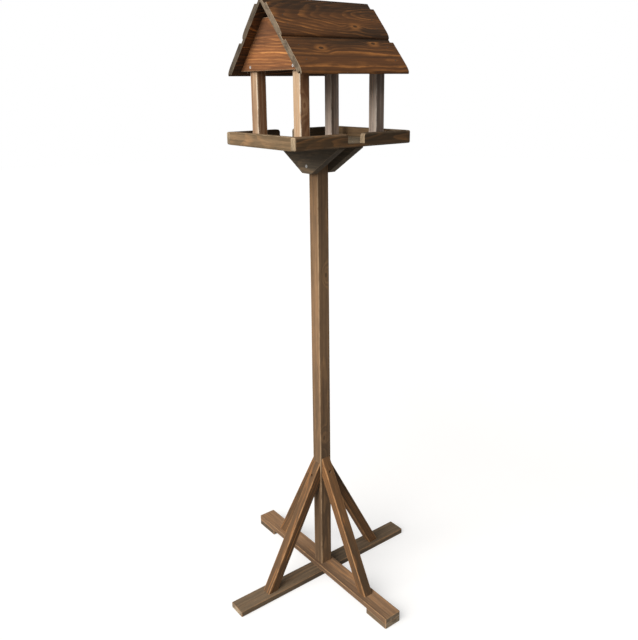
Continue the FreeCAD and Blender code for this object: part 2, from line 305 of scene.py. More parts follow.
def bore(piece, at, outward, radius, depth, clear=0.03):
    """Bores a round hole of a depth from a point on the surface, straight inwards."""
    put_down()
    turn = outward.to_track_quat("Z", "Y").to_euler()
    middle = at + outward * (clear - depth) / 2
    bpy.ops.mesh.primitive_cylinder_add(vertices=24, radius=radius, depth=depth + clear,
                                        location=middle, rotation=turn)
    cut_with(piece, bpy.context.object)


def planed(piece):
    """Last pass: broad faces shade flat, eased edges shade round."""
    sharp_from = math.radians(50)
    take(piece)
    bpy.ops.object.shade_smooth_by_angle(angle=sharp_from)
    normals = piece.modifiers.new("flat_faces", "WEIGHTED_NORMAL")
    normals.keep_sharp = True
    bpy.ops.object.modifier_apply(modifier=normals.name)


def copy_of(piece, name, move):
    """A copy with its own mesh, moved by a matrix."""
    twin = piece.copy()
    twin.data = piece.data.copy()
    scene.collection.objects.link(twin)
    twin.name = name
    twin.data.name = name
    twin.data.transform(move)
    return twin


timber = {}


def shelve(piece, node):
    """Puts a finished timber piece in place of the measured one."""
    planed(piece)
    timber[node] = piece
    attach(piece, "root")
    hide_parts(node)


# %% [markdown]
# ## The crossed foot
#
# Two planks cross flat on the ground, one on top of the other with no notch, and two short blocks
# under the upper plank's ends make up for the lower plank's thickness. All four are sawn blocks. Their
# level edges are rubbed round, and their corners a little more, so that nobody stubs a toe on them.

# %% Planks and blocks
plank_arris = 1.6 * MM
plank_corner = 3.0 * MM

for node in ("base_plank_lower", "base_plank_upper", "foot_block_front", "foot_block_rear"):
    plank = block(node + "_wood", *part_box(node))
    ease(plank, along(Z), plank_corner)
    ease(plank, level, plank_arris)
    shelve(plank, node)
print("foot", sorted(timber))


# %% [markdown]
# ## Post and braces
#
# The post is one square bar. A brace is the same kind of bar on the slant, sawn level where it stands
# on a plank and plumb where it leans on the post. Near its top a wide hole is bored level into the
# sloping face, so that a screw can reach the post. One brace is made and the others are turned copies.

# %% Post
bar_arris = 3.0 * MM
post_low, post_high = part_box("post")
post = block("post_wood", post_low, post_high)
ease(post, along(Z), bar_arris)
shelve(post, "post")
post_half = post_high.x
print("post", round((post_high.z - post_low.z) / MM), "mm long")

# %% Braces
right_low, right_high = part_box("brace_right")
batten = right_high.y - right_low.y
reach = right_high.x
seat = right_low.z
tip = right_high.z
lean = Vector((post_half - reach, 0, tip - seat)).normalized()
spare = 4 * batten
plug_radius = 4.5 * MM
plug_depth = 6.0 * MM
plug_drop = 42.0 * MM

brace_length = (tip - seat) / lean.z
brace = block("brace_right_wood", (-spare, -batten / 2, 0), (brace_length + spare, batten / 2, batten))
ease(brace, along(X), bar_arris)
tilt = Matrix((lean, Y, Vector((-lean.z, 0, lean.x)))).transposed().to_4x4()
brace.data.transform(Matrix.Translation((reach, 0, seat)) @ tilt)
saw(brace, (post_half, 0, 0), -X)
saw(brace, (0, 0, seat), -Z)
plug_x = post_half + plug_drop / (tip - seat) * (reach - post_half)
bore(brace, Vector((plug_x, 0, tip - plug_drop)), X, plug_radius, plug_depth)

upper_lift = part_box("brace_front")[0].z - seat
for turn, side in ((90, "rear"), (180, "left"), (270, "front")):
    lift = 0 if side == "left" else upper_lift
    node = "brace_" + side
    move = Matrix.Translation((0, 0, lift)) @ Matrix.Rotation(math.radians(turn), 4, "Z")
    shelve(copy_of(brace, node + "_wood", move), node)
shelve(brace, "brace_right")
print("braces lean", round(math.degrees(math.asin(lean.z)), 1), "degrees")


# %% [markdown]
# ## Tray
#
# The tray is a thin floor inside four rails. The long rails have rounded ends and a notch down to the
# floor, with rounded lips, through which old seed is swept out. Two thick gussets under the floor are
# cut on the slant, from nearly the tray's width down to the post's.

# %% Floor and short rails
rail_arris = 1.2 * MM
floor_arris = 0.5 * MM
fine_arris = 0.9 * MM
floor_low, floor_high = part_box("tray_floor")
tray_floor = block("tray_floor_wood", floor_low, floor_high)
ease(tray_floor, along(X), floor_arris, steps=1)
shelve(tray_floor, "tray_floor")

for side in ("left", "right"):
    rail = block("rim_" + side + "_wood", *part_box("rim_" + side))
    ease(rail, along(Y), rail_arris, steps=2)
    shelve(rail, "rim_" + side)

# %% Long rails with their notch
notch_half = 29.0 * MM
lip_radius = 9.0 * MM
end_radius = 5.0 * MM
notch_spare = 10.0 * MM


def long_rail(node, outward):
    low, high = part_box(node)
    rail = block(node + "_wood", low, high)
    outer, inner = (high.y, low.y) if outward > 0 else (low.y, high.y)
    spare = Vector((0, notch_spare, 0))
    gap_low = Vector((-notch_half, low.y, floor_high.z)) - spare
    gap_high = Vector((notch_half, high.y, high.z + notch_spare)) + spare
    cut_with(rail, block("gap", gap_low, gap_high))

    def lip(a, b):
        return along(Y)(a, b) and abs(abs(a.x) - notch_half) < NEAR and a.z > high.z - NEAR

    def inside(a, b):
        return along(X)(a, b) and abs(a.y - inner) < NEAR and a.z > high.z - NEAR

    def outside(a, b):
        return max(abs(a.y - outer), abs(b.y - outer)) < NEAR or along(Y)(a, b)

    ease(rail, lip, lip_radius, steps=6)
    ease(rail, inside, fine_arris, steps=2)
    rounded = block("rounded", low, high)
    ease(rounded, outside, end_radius, steps=5, wear=0.5)
    cut_with(rail, rounded, "INTERSECT")
    shelve(rail, node)


long_rail("rim_front", -1)
long_rail("rim_rear", 1)
print("rails", [name for name in timber if name.startswith("rim")])

# %% Gussets
shoulder = 5.0 * MM
top_slack = 0.1 * MM
for side in ("left", "right"):
    low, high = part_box("gusset_" + side)
    gusset = block("gusset_" + side + "_wood", low, high)
    drop = high.z - low.z - shoulder
    spread = high.y - post_half
    for hand in (-1, 1):
        off = Vector((0, hand * drop, -spread)).normalized()
        saw(gusset, (0, hand * post_half, low.z), off)
    ease(gusset, lambda a, b: not along(X)(a, b) and min(a.z, b.z) < high.z - top_slack, fine_arris, steps=2)
    shelve(gusset, "gusset_" + side)
print("gussets reach", round(high.y / MM), "mm to each side")


# %% [markdown]
# ## House
#
# Four uprights stand on the tray floor, their tops sawn to the roof's slope. A gable panel is screwed
# to the outside of each pair: a triangle with its tip cut off, which leaves a vent under the ridge.
# Its level edges are chamfered on the outside.

# %% The roof's slope
pitch = math.radians(48.5)
board_t = 18.0 * MM
tongue_t = 9.0 * MM
down_slope = Vector((0, -math.cos(pitch), -math.sin(pitch)))
out_of_slope = Vector((0, -math.sin(pitch), math.cos(pitch)))
ridge_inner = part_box("roof_front_upper")[1].z - tongue_t / math.cos(pitch)
ridge_line = Vector((0, 0, ridge_inner))


def to_rear(vector):
    return Vector((vector.x, -vector.y, vector.z))


def under_roof(piece, hands=(1, -1)):
    """Saws off what would stand through the roof boards, on the front and the rear slope."""
    for hand in hands:
        off = out_of_slope if hand > 0 else to_rear(out_of_slope)
        saw(piece, ridge_line, off)


# %% Uprights
upright_spare = Vector((0, 0, 10.0 * MM))
for row in ("front", "rear"):
    for end in ("left", "right"):
        node = "upright_" + row + "_" + end
        low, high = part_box(node)
        upright = block(node + "_wood", low, high + upright_spare)
        ease(upright, along(Z), bar_arris)
        under_roof(upright, hands=(1,) if row == "front" else (-1,))
        shelve(upright, node)

# %% Gables
chamfer = 2.0 * MM
sink_radius = 4.4 * MM
sink_depth = 1.2 * MM


def solids_in(node):
    """The separate solids of a measured node, each as its list of corner points."""
    mesh = bmesh.new()
    mesh.from_mesh(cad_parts[node].data)
    bmesh.ops.remove_doubles(mesh, verts=mesh.verts, dist=TINY)
    mesh.verts.ensure_lookup_table()
    left = set(mesh.verts)
    found = []
    while left:
        island = set()
        queue = [next(v for v in mesh.verts if v in left)]
        while queue:
            vert = queue.pop()
            if vert in island:
                continue
            island.add(vert)
            queue.extend(edge.other_vert(vert) for edge in vert.link_edges)
        left -= island
        found.append([v.co.copy() for v in mesh.verts if v in island])
    mesh.free()
    return found


def heads(node, outward_of):
    """Where each fastener's head lies and which way it faces. outward_of gives that from its middle."""
    places = []
    for points in solids_in(node):
        middle = sum(points, Vector()) / len(points)
        outward = outward_of(middle).normalized()
        top = max(p.dot(outward) for p in points)
        face = [p for p in points if p.dot(outward) > top - NEAR]
        places.append((sum(face, Vector()) / len(face), outward))
    return places


def sideways(middle):
    return X if middle.x > 0 else -X


for side in ("left", "right"):
    node = "gable_" + side
    low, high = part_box(node)
    gable = block(node + "_wood", low, high)
    under_roof(gable)
    outer = high.x if side == "right" else low.x
    ease(gable, lambda a, b: along(Y)(a, b) and abs(a.x - outer) < TINY, chamfer, steps=1)
    for at, outward in heads("gable_screws", sideways):
        if at.x * outer > 0:
            bore(gable, at, outward, sink_radius, sink_depth)
    shelve(gable, node)
print("gables and uprights", len(timber))


# %% [markdown]
# ## Roof
#
# Each slope has two boards of the kind used for cladding: a thin tongue at the upper edge, a cove up to
# the full thickness, a long flat face, and a drooping nose with a rebate behind it that covers the next
# board's tongue. Such a moulding is the same all along, so a filled circle with as many corners as the
# section has is pulled into the section's outline and then extruded for the length of the roof. The
# top boards are sawn plumb at the ridge. The rear slope is a copy, turned half round.

# %% Section of a board
face_w = 106.0 * MM
tongue_show = 19.0 * MM
lap = 11.0 * MM
lap_gap = 0.3 * MM
nose_length = 28.0 * MM
ridge_show = 20.0 * MM
roof_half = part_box("roof_front_upper")[1].x
curve_steps = 7


def on_slope(u, v):
    """A point of the front slope: u metres down from the inner ridge line, v metres out of the roof."""
    return ridge_line + down_slope * u + out_of_slope * v - X * roof_half


def board_outline(step_u, tongue_u):
    """The section's corners, once round: along the underside, up the nose, back over the face."""
    cove = board_t - tongue_t
    nose_u = step_u + face_w
    rebate_v = tongue_t + lap_gap
    outline = [(tongue_u, 0.0), (nose_u - lap, 0.0), (nose_u - lap, rebate_v)]
    for k in range(curve_steps + 1):
        t = k / curve_steps
        outline.append((nose_u - nose_length * t ** 2, board_t - (board_t - rebate_v) * (1 - t) ** 2))
    for k in range(curve_steps + 1):
        angle = math.pi / 2 * (1 - k / curve_steps)
        outline.append((step_u - cove + cove * math.sin(angle), board_t - cove * math.cos(angle)))
    outline.append((tongue_u, tongue_t))
    return outline


def roof_board(name, step_u, tongue_u):
    outline = board_outline(step_u, tongue_u)
    put_down()
    bpy.ops.mesh.primitive_circle_add(vertices=len(outline), radius=0.1, fill_type="NGON")
    board = named(name)
    for vertex, (u, v) in zip(board.data.vertices, outline):
        vertex.co = on_slope(u, v)
    open_mesh(board)
    bpy.ops.mesh.extrude_region_move(TRANSFORM_OT_translate={"value": (2 * roof_half, 0, 0)})
    close_mesh()
    return board


def at_end(a, b):
    """A test for the sharp edges where the saw left a board's two ends."""
    return abs(abs(a.x) - roof_half) < TINY and abs(a.x - b.x) < TINY


# %% Four boards
half_turn = Matrix.Rotation(math.pi, 4, "Z")
upper = roof_board("roof_front_upper_wood", ridge_show, -2 * board_t)
saw(upper, (0, 0, ridge_inner), Y)
upper_end = ridge_show + face_w
lower = roof_board("roof_front_lower_wood", upper_end + tongue_show, upper_end - lap + lap_gap)
for board, row in ((upper, "upper"), (lower, "lower")):
    ease(board, at_end, fine_arris, steps=2)
    shelve(copy_of(board, "roof_rear_" + row + "_wood", half_turn), "roof_rear_" + row)
    shelve(board, "roof_front_" + row)
print("roof boards", round(2 * roof_half / MM), "mm long, timber pieces", len(timber))


# %% [markdown]
# ## Screws and nails
#
# A countersunk screw is a turned shape: a head, a cone under it and a shank that narrows to a point.
# It is drawn by extruding one ring of a circle downwards and scaling it at each step. The cross
# recess is cut with two crossed blades. For each set one is made, standing at the origin with its head
# up, and then copied to every place where the measured model has one.

# %% One turned fastener
head_proud = 0.15 * MM


def extrude_ring(down, scale):
    bpy.ops.mesh.extrude_region_move(TRANSFORM_OT_translate={"value": (0, 0, -down)})
    bpy.ops.transform.resize(value=(scale, scale, 1))


def driven(head_d, shank_d, length, cross=True, sides=20):
    """A screw or nail with its head's top at the origin, its point down."""
    rim = 0.04 * head_d
    cone = (head_d - shank_d) / 2
    dish_w, dish_h = 0.08 * head_d, 0.03 * head_d
    blade_w, blade_t, blade_depth = 0.62 * head_d, 0.13 * head_d, 0.22 * head_d
    put_down()
    bpy.ops.mesh.primitive_circle_add(vertices=sides, radius=head_d / 2, fill_type="NOTHING")
    piece = bpy.context.object
    open_mesh(piece)
    extrude_ring(rim, 1.0)
    extrude_ring(cone, shank_d / head_d)
    extrude_ring(length - rim - cone - shank_d, 1.0)
    extrude_ring(shank_d, 0.1)
    bpy.ops.mesh.edge_face_add()
    mesh = bmesh.from_edit_mesh(piece.data)
    bpy.ops.mesh.select_all(action="DESELECT")
    for edge in mesh.edges:
        edge.select_set(all(abs(v.co.z) < TINY for v in edge.verts))
    bmesh.update_edit_mesh(piece.data)
    bpy.ops.mesh.edge_face_add()
    bpy.ops.mesh.inset(thickness=dish_w, depth=dish_h)
    close_mesh()
    if cross:
        for half_x, half_y in ((blade_w / 2, blade_t / 2), (blade_t / 2, blade_w / 2)):
            cut_with(piece, block("blade", (-half_x, -half_y, -blade_depth), (half_x, half_y, head_d)))
    return piece


fasteners = {}


def drive_all(node, model, places, proud=0):
    """Copies the model to every place, each turned a little further, and joins them in one set."""
    twist_step = 0.7
    sharp_from = math.radians(35)
    copies = []
    for number, (at, outward) in enumerate(places):
        stand = outward.to_track_quat("Z", "Y").to_matrix().to_4x4()
        twist = Matrix.Rotation(twist_step * number, 4, "Z")
        move = Matrix.Translation(at + outward * proud) @ stand @ twist
        copies.append(copy_of(model, node + "_" + str(number), move))
    bpy.data.objects.remove(model)
    metal_set = copies[0]
    take(metal_set)
    for one in copies:
        one.select_set(True)
    bpy.ops.object.join()
    metal_set.name = node + "_set"
    metal_set.data.name = node + "_set"
    fasteners[node] = metal_set
    bpy.ops.object.shade_smooth_by_angle(angle=sharp_from)
    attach(metal_set, "root")
    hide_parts(node)


def downwards(middle):
    return -Z


def upwards(middle):
    return Z


def front_or_rear(middle):
    return Y if middle.y > 0 else -Y


def slope_side(middle):
    return to_rear(out_of_slope) if middle.y > 0 else out_of_slope


def away_from_post(middle):
    return sideways(middle) if abs(middle.x) > abs(middle.y) else front_or_rear(middle)


def rail_side(middle):
    pin_reach = 20.0 * MM
    return sideways(middle) if abs(middle.x) > floor_high.x - pin_reach else front_or_rear(middle)


# %% Screws, nails and pins
# Each row: the node, the kind, its length in millimetres, the way the heads face, how far they stand out.
screw = {"head_d": 8 * MM, "shank_d": 4 * MM}
long_screw = {"head_d": 12 * MM, "shank_d": 6 * MM}
nail = {"head_d": 4 * MM, "shank_d": 2 * MM, "cross": False, "sides": 14}
pin = {"head_d": 2.6 * MM, "shank_d": 1.8 * MM, "cross": False, "sides": 12}
for node, kind, length, facing, proud in (
        ("gable_screws", screw, 32, sideways, head_proud),
        ("tray_screws", screw, 26, upwards, head_proud),
        ("upright_screws", screw, 44, downwards, head_proud),
        ("brace_top_screws", screw, 30, away_from_post, head_proud),
        ("brace_foot_screws", screw, 46, downwards, 0),
        ("crossing_screws", screw, 30, downwards, 0),
        ("post_foot_screws", long_screw, 90, downwards, 0),
        ("roof_nails", nail, 45, slope_side, head_proud),
        ("foot_block_nails", nail, 32, downwards, 0),
        ("rim_nails", pin, 40, front_or_rear, head_proud),
        ("floor_pins", pin, 40, rail_side, head_proud)):
    drive_all(node, driven(length=length * MM, **kind), heads(node, facing), proud)
print("screws and nails", sum(len(piece.data.polygons) for piece in fasteners.values()), "faces")


# %% [markdown]
# ## Gusset bolt
#
# A bolt with a domed head goes through both gussets and the post, with a washer and a nut on the far
# side. The dome is a sphere's cap: a ball sawn off level. The nut is a six-sided cylinder whose
# corners are rounded where they meet the faces, as a real nut's are.

# %% Bolt
bolt_d = 6.0 * MM
dome_d = 10.0 * MM
dome_h = 2.4 * MM
dome_radius = (dome_d ** 2 / 4 + dome_h ** 2) / (2 * dome_h)
bolt_low, bolt_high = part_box("gusset_bolt")
shank_length = bolt_high.x - bolt_low.x - dome_h

put_down()
bpy.ops.mesh.primitive_uv_sphere_add(segments=28, ring_count=40, radius=dome_radius,
                                     location=(0, 0, dome_h - dome_radius))
bolt = bpy.context.object
bpy.ops.object.transform_apply()
bolt.name = "bolt"
saw(bolt, (0, 0, 0), -Z)
open_mesh(bolt, "DESELECT")
bpy.ops.mesh.select_mode(type="FACE")
mesh = bmesh.from_edit_mesh(bolt.data)
for face in mesh.faces:
    face.select_set(face.normal.z < -0.99 and abs(face.calc_center_median().z) < TINY)
bmesh.update_edit_mesh(bolt.data)
bpy.ops.mesh.inset(thickness=(dome_d - bolt_d) / 2, depth=0)
bpy.ops.mesh.extrude_region_move(TRANSFORM_OT_translate={"value": (0, 0, -shank_length)})
close_mesh()
dome_seats = [(at + X * dome_h, outward) for at, outward in heads("gusset_bolt", lambda middle: -X)]
drive_all("gusset_bolt", bolt, dome_seats)

# %% Washer and nut
# Each is a disc or hexagon with a hole, its back at the origin, its outer edges softened.
for node, sides, slack, soften in (("gusset_washer", 28, 0.1 * MM, 0.3 * MM),
                                   ("gusset_nut", 6, 0.05 * MM, 0.6 * MM)):
    low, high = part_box(node)
    thick = high.x - low.x
    put_down()
    bpy.ops.mesh.primitive_cylinder_add(vertices=sides, radius=(high.y - low.y) / 2, depth=thick,
                                        location=(0, 0, thick / 2))
    bpy.ops.object.transform_apply()
    ring = named(node + "_model")
    ease(ring, level, soften, steps=2)
    bore(ring, Vector((0, 0, thick)), Z, bolt_d / 2 + slack, 2 * thick)
    backs = [(at - X * thick, X) for at, outward in heads(node, lambda middle: X)]
    drive_all(node, ring, backs)
    print(node, "at height", [round(at.z, 3) for at, outward in backs])


# %% [markdown]
# ## Figure of pine
#
# A pine board is cut from a cone of yearly rings, so its figure is worked out as a tree grows: each
# point's distance from the pith, divided by the width of a year, says how far through a year it is.
# The soft early wood fades slowly into hard late wood and then stops short. Where the cut runs nearly
# along the rings they open into pointed arches; on the ends the same rings show as arcs, with no seam.
# A knot is a branch that pushed the rings aside. One node group does this for every board, which then
# differ by where their pith, knots and slant are.

# %% A node group and its sockets
def new_group(name, inputs, outputs):
    """An empty shader group with named sockets. How many numbers an input has tells its kind."""
    group = bpy.data.node_groups.new(name, "ShaderNodeTree")
    for label, value in inputs.items():
        kind = {3: "Vector", 4: "Color"}[len(value)] if isinstance(value, tuple) else "Float"
        socket = group.interface.new_socket(name=label, in_out="INPUT", socket_type="NodeSocket" + kind)
        socket.default_value = value
    for label in outputs:
        kind = "Color" if label == "Color" else "Float"
        group.interface.new_socket(name=label, in_out="OUTPUT", socket_type="NodeSocket" + kind)
    return group, group.nodes.new("NodeGroupInput").outputs, group.nodes.new("NodeGroupOutput").inputs


def hand_out(group, results, **values):
    for label, value in values.items():
        group.links.new(value, results[label.replace("_", " ")])


nowhere = (9.0, 9.0, 9.0)

# %% Yearly rings and knots
rings, given, results = new_group("yearly_rings", {
    "Place": (0, 0, 0), "Pith": (0, 0, -0.04), "Slant": 0.1, "Year": 0.005, "Swing": 1.0,
    "Knot 1": nowhere, "Knot 2": nowhere, "Seed": 0.0}, ("Late", "Strength", "Knot", "Halo"))

mid_grey = (0.5, 0.5, 0.5)
bend_size = (0, 0.045, 0.045)
tremble_size = (0, 0.005, 0.005)
wander = noise(rings, given, (2.6, 11, 11), output="Color")
wobble = noise(rings, given, (11, 55, 55), output="Color")
centred = vector_maths(rings, "SUBTRACT", wander, mid_grey)
centred_fine = vector_maths(rings, "SUBTRACT", wobble, mid_grey)
bend = vector_maths(rings, "MULTIPLY", centred, bend_size)
bend = vector_maths(rings, "SCALE", bend, given["Swing"])
tremble = vector_maths(rings, "MULTIPLY", centred_fine, tremble_size)
from_pith = vector_maths(rings, "SUBTRACT", given["Place"], given["Pith"])
moved = vector_maths(rings, "ADD", from_pith, bend)
moved = vector_maths(rings, "ADD", moved, tremble)
parts = add_node(rings, "SeparateXYZ", {0: moved}).outputs
deep = plus(rings, parts[2], times(rings, parts[0], given["Slant"]))
radius = maths(rings, "SQRT", plus(rings, times(rings, parts[1], parts[1]), times(rings, deep, deep)))

knot_shape = (0.55, 1.0, 0.0)
knot_waver = 0.004
knot_reach, knot_bulge = 0.030, 0.013
heart_edge = (0.0052, 0.0030)
halo_edge = (0.016, 0.004)
knot_heart = 0.0
knot_halo = 0.0
for label in ("Knot 1", "Knot 2"):
    aside = vector_maths(rings, "SUBTRACT", given["Place"], given[label])
    aside = vector_maths(rings, "MULTIPLY", aside, knot_shape)
    near = add_node(rings, "VectorMath", {0: aside}, operation="LENGTH").outputs["Value"]
    near = plus(rings, near, times(rings, maths(rings, "SUBTRACT", wobble, 0.5), knot_waver))
    radius = plus(rings, radius, ramp(rings, near, knot_reach, 0.0, 0.0, knot_bulge))
    knot_heart = plus(rings, knot_heart, ramp(rings, near, *heart_edge))
    knot_halo = plus(rings, knot_halo, ramp(rings, near, *halo_edge))

late_wood_grows = (0.25, 0.86)
late_wood_stops = (1.0, 0.90)
years = maths(rings, "DIVIDE", radius, given["Year"])
season = maths(rings, "FRACT", years)
grown = ramp(rings, season, *late_wood_grows)
late = times(rings, grown, ramp(rings, season, *late_wood_stops))
whole = plus(rings, maths(rings, "FLOOR", years), given["Seed"])
luck = add_node(rings, "TexWhiteNoise", {"W": whole}, noise_dimensions="1D").outputs["Value"]
hand_out(rings, results, Late=late, Strength=luck, Knot=knot_heart, Halo=knot_halo)
print("yearly_rings has", len(rings.nodes), "nodes")


# %% [markdown]
# ## Scorched stain
#
# The boards were scorched and brushed before they were stained: fire darkens the soft early wood and
# leaves the hard late wood as warm lines, and the flame touched some places more than others. So the
# colour is mixed from three: a char that lies in clouds, the stain over most of the board, and the
# glow of the late wood. One face of a board can be pushed further towards char where it turns from the
# key light; that is painted shade, not scorch. Fine streaks and fibres run along the grain, which is
# the board's own first axis, and the same masks give the height for the bump, since brushing wore the
# soft wood down.

# %% Stain
# One input darkens the face given as turned from the key light; that darkening is painted shade, not scorch.
stain, given, results = new_group("scorched_stain", {
    "Place": (0, 0, 0), "Late": 0.0, "Strength": 0.5, "Knot": 0.0, "Halo": 0.0, "Seed": 0.0,
    "Scorch": 0.5, "Painted Face Shade": 0.0, "Facing": (0, 0, 1), "Char": (0.03, 0.015, 0.008, 1),
    "Stain": (0.12, 0.05, 0.02, 1), "Glow": (0.3, 0.13, 0.05, 1)}, ("Color", "Height", "Gloss"))

cloud = noise(stain, given, (1.8, 13, 13))
flame = noise(stain, given, (13, 34, 34), 3.0, 0.6)
streak = noise(stain, given, (3.2, 150, 150), 3.0, 0.6)
fibre = noise(stain, given, (38, 1500, 1500))

# Where the fire burnt through, in clouds and streaks, with more char on the face turned from the key light
# as painted shade.
shaded_side = (0.5, 0.8)
cloud_share, streak_share = 0.7, 0.3
burn_least, burn_gain = 0.35, 0.30
char_edge = (0.15, -0.13)
outward = add_node(stain, "SeparateXYZ", {0: given["Facing"]}).outputs[2]
scorch_and_shade = times(stain, ramp(stain, outward, *shaded_side), given["Painted Face Shade"])
scorch_and_shade = plus(stain, scorch_and_shade, given["Scorch"])
char_and_shade_edge = plus(stain, times(stain, scorch_and_shade, burn_gain), burn_least)
pattern = plus(stain, times(stain, cloud, cloud_share), times(stain, streak, streak_share))
unburnt_unshaded = ramp(stain, maths(stain, "SUBTRACT", char_and_shade_edge, pattern), *char_edge)
body = mix_colours(stain, unburnt_unshaded, given["Char"], given["Stain"])

# The glow of the late wood: some years stand out, some places and the char keep it down.
bold_power, line_least, line_gain = 1.7, 0.15, 1.3
patchy = (0.34, 0.60, 0.12, 1.0)
charred_line, bare_line = 0.35, 0.65
bold = maths(stain, "POWER", given["Strength"], bold_power)
lines = times(stain, given["Late"], plus(stain, line_least, times(stain, bold, line_gain)))
lines = times(stain, lines, ramp(stain, flame, *patchy), clamp=True)
lines = times(stain, lines, plus(stain, charred_line, times(stain, unburnt_unshaded, bare_line)))

# Knots and fine dark streaks over it, then the light and dark of single fibres.
halo_glow, knot_char = 0.45, 0.85
streak_char = (0.30, 0.62, 0.34, 0.0)
fibre_light = (0.3, 0.7, 0.80, 1.16)
figured = mix_colours(stain, lines, body, given["Glow"])
haloed = mix_colours(stain, times(stain, given["Halo"], halo_glow), figured, given["Glow"])
knotted = mix_colours(stain, times(stain, given["Knot"], knot_char), haloed, given["Char"])
streaked = mix_colours(stain, ramp(stain, streak, *streak_char), knotted, given["Char"])
brushed = vector_maths(stain, "SCALE", streaked, ramp(stain, fibre, *fibre_light))

# The brushed relief and the roughness.
late_rise, fibre_rise, streak_rise, knot_sink = 0.55, 0.35, 0.4, 0.4
dull, fibre_dull, line_shine = 0.62, 0.25, 0.16
height = plus(stain, times(stain, given["Late"], late_rise), times(stain, fibre, fibre_rise))
height = plus(stain, height, times(stain, streak, streak_rise))
height = maths(stain, "SUBTRACT", height, times(stain, given["Knot"], knot_sink))
gloss = plus(stain, dull, times(stain, fibre, fibre_dull))
gloss = maths(stain, "SUBTRACT", gloss, times(stain, lines, line_shine))
hand_out(stain, results, Color=brushed, Height=height, Gloss=gloss)
print("scorched_stain has", len(stain.nodes), "nodes")


# %% [markdown]
# ## Ends and rubbed edges
#
# End grain drinks stain but was never scorched, so it dries to a greyed tan, with the year's rings
# showing and fine dark drying cracks. Eased edges lose their stain first. The ends are found from
# the surface's direction in the board's own axes, and the edges from the `arris` attribute that the
# easing tool marked; a coarse noise breaks the wear up, since no hand rubs evenly.

# %% Ends and edges
worn, given, results = new_group("ends_and_edges", {
    "Color": (0.1, 0.05, 0.02, 1), "Place": (0, 0, 0), "Facing": (0, 0, 1), "Arris": 0.0, "Late": 0.0,
    "Seed": 0.0, "Rub": 0.5, "End Color": (0.35, 0.25, 0.15, 1), "Arris Color": (0.4, 0.28, 0.16, 1)},
    ("Color", "End", "Dip"))

end_side = (0.42, 0.62)
pore_light = (0.3, 0.7, 0.84, 1.12)
ring_dark = 0.20
check_light = (0.30, 0.42, 0.78, 1.0)
soak_light = (0.38, 0.60, 0.56, 1.14)
rub_spread = (0.36, 0.60, 0.25, 1.0)
end_cover = 0.92
facing = add_node(worn, "SeparateXYZ", {0: given["Facing"]}).outputs
end = ramp(worn, maths(worn, "ABSOLUTE", facing[0]), *end_side)
pores = noise(worn, given, (120, 420, 420), 3.0, 0.6)
check = noise(worn, given, (10, 260, 60), 3.0, 0.65)
soaked = noise(worn, given, (12, 26, 60), 3.0, 0.6)
pored = ramp(worn, pores, *pore_light)
end_value = maths(worn, "SUBTRACT", pored, times(worn, given["Late"], ring_dark))
end_value = times(worn, end_value, ramp(worn, check, *check_light))
end_value = times(worn, end_value, ramp(worn, soaked, *soak_light))
end_grain = vector_maths(worn, "SCALE", given["End Color"], end_value)
rubbing = noise(worn, given, (26, 60, 60), 3.0, 0.6)
rubbed = times(worn, given["Arris"], ramp(worn, rubbing, *rub_spread))
rubbed = times(worn, rubbed, given["Rub"], clamp=True)
ended = mix_colours(worn, times(worn, end, end_cover), given["Color"], end_grain)
edged = mix_colours(worn, rubbed, ended, given["Arris Color"])
hand_out(worn, results, Color=edged, End=end, Dip=check)
print("ends_and_edges has", len(worn.nodes), "nodes")


# %% [markdown]
# ## Finishing a board
#
# A finish is a material of the board's own. A Mapping node turns the model's coordinates into the
# board's: first axis along the grain, second across the face, third out of the face, with its middle
# at zero. The same turn is given to the surface's direction. After that every board uses the same
# three groups with its own pith, knots and tones.

# %% Timber finish
relief = 0.35 * MM


# The argument for one face darkens the face turned from the key light: that is painted shade, not scorch.
def finish_timber(node, tones, grain, face, pith=(0, -0.035), slant=0.08, year=0.0055,
                  knots=(), seed=0.0, scorch=0.5, painted_face_shade=0.0, rub=0.6, swing=1.0):
    piece = timber[node]
    slot, char, body, glow, end, edge = stains[tones]
    low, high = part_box(node)
    turn = Matrix((grain, face.cross(grain), face))
    middle = turn @ ((low + high) / 2)
    paint, tree, shader = new_paint(slot + "_" + node)
    spot = add_node(tree, "TexCoord").outputs["Object"]
    to_board = {"Vector": spot, "Rotation": turn.to_euler(), "Location": -middle}
    place = add_node(tree, "Mapping", to_board, vector_type="POINT").outputs[0]
    direction = add_node(tree, "NewGeometry").outputs["Normal"]
    facing = add_node(tree, "Mapping", {"Vector": direction, "Rotation": turn.to_euler()},
                      vector_type="VECTOR").outputs[0]
    arris = add_node(tree, "Attribute", attribute_name="arris").outputs["Fac"]
    knot_places = [(x, y, 0.0) for x, y in knots] + [nowhere, nowhere]
    grown = add_node(tree, "Group", {
        "Place": place, "Pith": (0.0, pith[0], pith[1]), "Slant": slant, "Year": year, "Swing": swing,
        "Knot 1": knot_places[0], "Knot 2": knot_places[1], "Seed": seed}, node_tree=rings).outputs
    stained = add_node(tree, "Group", {
        "Place": place, "Late": grown["Late"], "Strength": grown["Strength"], "Knot": grown["Knot"],
        "Halo": grown["Halo"], "Seed": seed, "Scorch": scorch, "Painted Face Shade": painted_face_shade,
        "Facing": facing, "Char": char, "Stain": body, "Glow": glow}, node_tree=stain).outputs
    edged = add_node(tree, "Group", {
        "Color": stained["Color"], "Place": place, "Facing": facing, "Arris": arris, "Late": grown["Late"],
        "Seed": seed, "Rub": rub, "End Color": end, "Arris Color": edge},
        node_tree=worn).outputs
    bump = add_node(tree, "Bump", {"Height": stained["Height"], "Strength": 0.8, "Distance": relief})
    tree.links.new(edged["Color"], shader.inputs["Base Color"])
    tree.links.new(stained["Gloss"], shader.inputs["Roughness"])
    tree.links.new(bump.outputs[0], shader.inputs["Normal"])
    shader.inputs["Specular IOR Level"].default_value = 0.35
    piece.data.materials.clear()
    piece.data.materials.append(paint)


